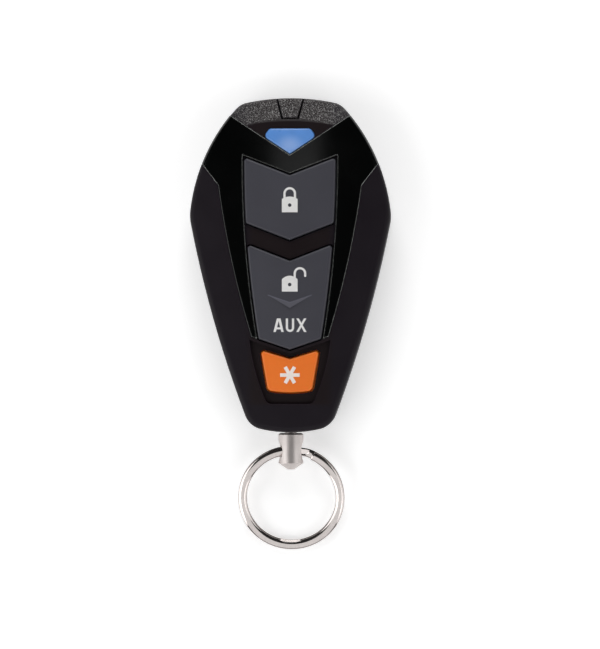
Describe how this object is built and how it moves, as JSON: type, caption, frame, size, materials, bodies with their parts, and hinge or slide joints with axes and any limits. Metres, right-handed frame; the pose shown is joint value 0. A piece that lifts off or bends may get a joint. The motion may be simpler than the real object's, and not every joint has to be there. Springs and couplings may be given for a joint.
{
  "type": "car alarm remote",
  "caption": "Handheld car alarm remote with lock, unlock, auxiliary and star buttons, an indicator lens and a swivelling split ring.",
  "frame": {"origin": "middle of the outline on the flat back face", "axes": "+X across the remote, +Y along it towards the cap with the indicator lens, +Z out of the button face"},
  "size_m": [0.0374, 0.0847, 0.0127],
  "materials": {
    "case_plastic": "fine grain, charcoal black",
    "gloss_bezel": "polished piano black",
    "blue_lens": "frosted translucent blue",
    "key_rubber": "smooth satin grey",
    "orange_key": "satin orange",
    "keypad_silicone": "soft silicone",
    "board_laminate": "green solder mask",
    "switch_plastic": "moulded black",
    "plunger_plastic": "moulded white",
    "contact_steel": "sprung sheet",
    "cell_steel": "pressed steel",
    "gasket_nylon": "nylon",
    "chip_epoxy": "moulded epoxy",
    "component_ceramic": "fired ceramic",
    "antenna_copper": "bare copper",
    "led_epoxy": "clear epoxy",
    "nickel": "satin nickel on the post, polished on the ring"
  },
  "bodies": {
    "case": {"front_housing": "case_plastic", "bezel": "gloss_bezel", "indicator_lens": "blue_lens", "keypad": "keypad_silicone", "circuit_board": "board_laminate", "lock_switch_base": "switch_plastic", "unlock_switch_base": "switch_plastic", "aux_switch_base": "switch_plastic", "star_switch_base": "switch_plastic", "switch_covers": "contact_steel", "cell_can": "cell_steel", "cell_lid": "cell_steel", "cell_gasket": "gasket_nylon", "battery_clip": "contact_steel", "negative_contact": "contact_steel", "microcontroller": "chip_epoxy", "chip_components": "component_ceramic", "antenna_loop": "antenna_copper", "saw_resonator": "cell_steel", "crystal": "cell_steel", "indicator_led": "led_epoxy"},
    "rear_cover": {"rear_housing": "case_plastic"},
    "lock_key": {"lock_button": "key_rubber"},
    "lock_pusher": {"lock_plunger": "plunger_plastic"},
    "star_key": {"star_button": "orange_key"},
    "star_pusher": {"star_plunger": "plunger_plastic"},
    "rocker_key": {"unlock_aux_rocker": "key_rubber"},
    "unlock_pusher": {"unlock_plunger": "plunger_plastic"},
    "aux_pusher": {"aux_plunger": "plunger_plastic"},
    "swivel": {"swivel_post": "nickel"},
    "ring": {"split_ring": "nickel"}
  },
  "joints": [
    {"name": "rear_cover_slide", "type": "slide", "parent": "case", "child": "rear_cover", "axis": [0, 0, -1], "range_m": [0, 0.018]},
    {"name": "lock_press", "type": "slide", "parent": "case", "child": "lock_key", "axis": [0, 0, -1], "range_m": [0, 0.00025], "stiffness_N_per_m": 6000, "springref_m": -0.0001, "deforming": ["keypad"]},
    {"name": "lock_plunger_press", "type": "slide", "parent": "case", "child": "lock_pusher", "axis": [0, 0, -1], "range_m": [0, 0.00025]},
    {"name": "star_press", "type": "slide", "parent": "case", "child": "star_key", "axis": [0, 0, -1], "range_m": [0, 0.00025], "stiffness_N_per_m": 6000, "springref_m": -0.0001, "deforming": ["keypad"]},
    {"name": "star_plunger_press", "type": "slide", "parent": "case", "child": "star_pusher", "axis": [0, 0, -1], "range_m": [0, 0.00025]},
    {"name": "rocker_tilt", "type": "hinge", "parent": "case", "child": "rocker_key", "pos_m": [0, -0.0061, 0.00916], "axis": [1, 0, 0], "range_deg": [-2.76, 2.76], "stiffness_Nm_per_rad": 0.2, "deforming": ["keypad"]},
    {"name": "unlock_plunger_press", "type": "slide", "parent": "case", "child": "unlock_pusher", "axis": [0, 0, -1], "range_m": [0, 0.00025], "stiffness_N_per_m": 4000, "springref_m": -0.0001},
    {"name": "aux_plunger_press", "type": "slide", "parent": "case", "child": "aux_pusher", "axis": [0, 0, -1], "range_m": [0, 0.00025], "stiffness_N_per_m": 4000, "springref_m": -0.0001},
    {"name": "post_swivel", "type": "hinge", "parent": "case", "child": "swivel", "pos_m": [0, -0.0316, 0.0052], "axis": [0, 1, 0], "continuous": true},
    {"name": "ring_swing", "type": "hinge", "parent": "swivel", "child": "ring", "pos_m": [0, -0.0347, 0.0052], "axis": [1, 0, 0], "range_deg": [-123, 96]}
  ],
  "couplings": [
    {"joint": "lock_plunger_press", "follows": "lock_press", "ratio": 1},
    {"joint": "star_plunger_press", "follows": "star_press", "ratio": 1}
  ]
}
